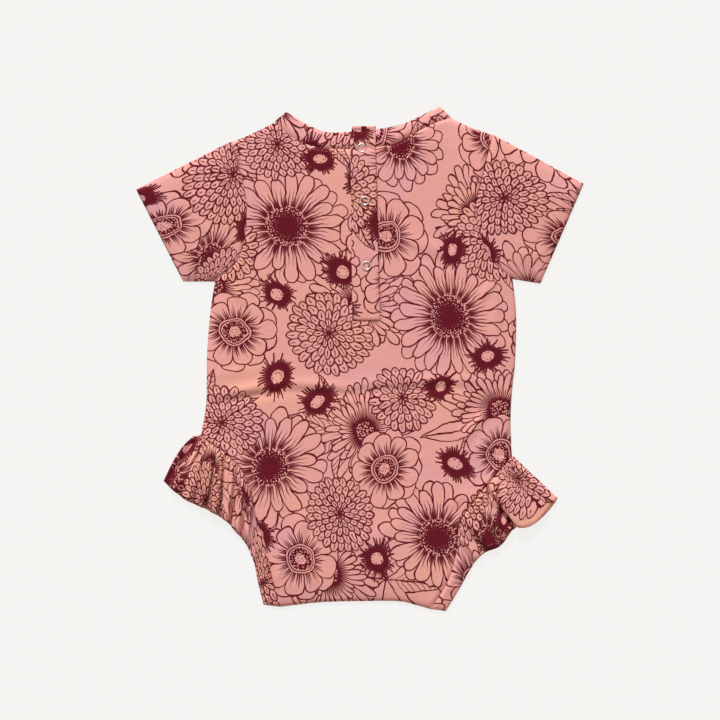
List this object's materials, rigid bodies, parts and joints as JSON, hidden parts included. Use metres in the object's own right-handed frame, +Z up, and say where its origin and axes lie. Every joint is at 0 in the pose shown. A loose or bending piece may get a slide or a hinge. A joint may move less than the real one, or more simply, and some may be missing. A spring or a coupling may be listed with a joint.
{
  "type": "baby bodysuit",
  "caption": "Short-sleeved baby bodysuit in printed jersey laid flat with its back up, with a snapped back placket, a narrow neckband and a gathered strip round each leg opening.",
  "frame": {"origin": "middle of the bounding box, on the surface that the garment lies on", "axes": "+X across the garment to the right seen from above, +Y from the crotch to the neck, +Z up out of the back panel"},
  "size_m": [0.3582, 0.4038, 0.0082],
  "materials": {
    "jersey": "matt cotton jersey, salmon with a dark red drawn flower print",
    "snap_metal": "plain metal ring snaps with a soft shine"
  },
  "bodies": {
    "root": {"front_body": "jersey", "back_body": "jersey", "neckband": "jersey", "placket_over": "jersey", "placket_under": "jersey", "sleeve_left": "jersey", "sleeve_right": "jersey", "leg_ruffle_left": "jersey", "leg_ruffle_right": "jersey", "snap_ring_1": "snap_metal", "snap_ring_2": "snap_metal", "snap_ring_3": "snap_metal", "crotch_snap_1": "snap_metal", "crotch_snap_2": "snap_metal", "crotch_snap_3": "snap_metal"}
  },
  "joints": []
}
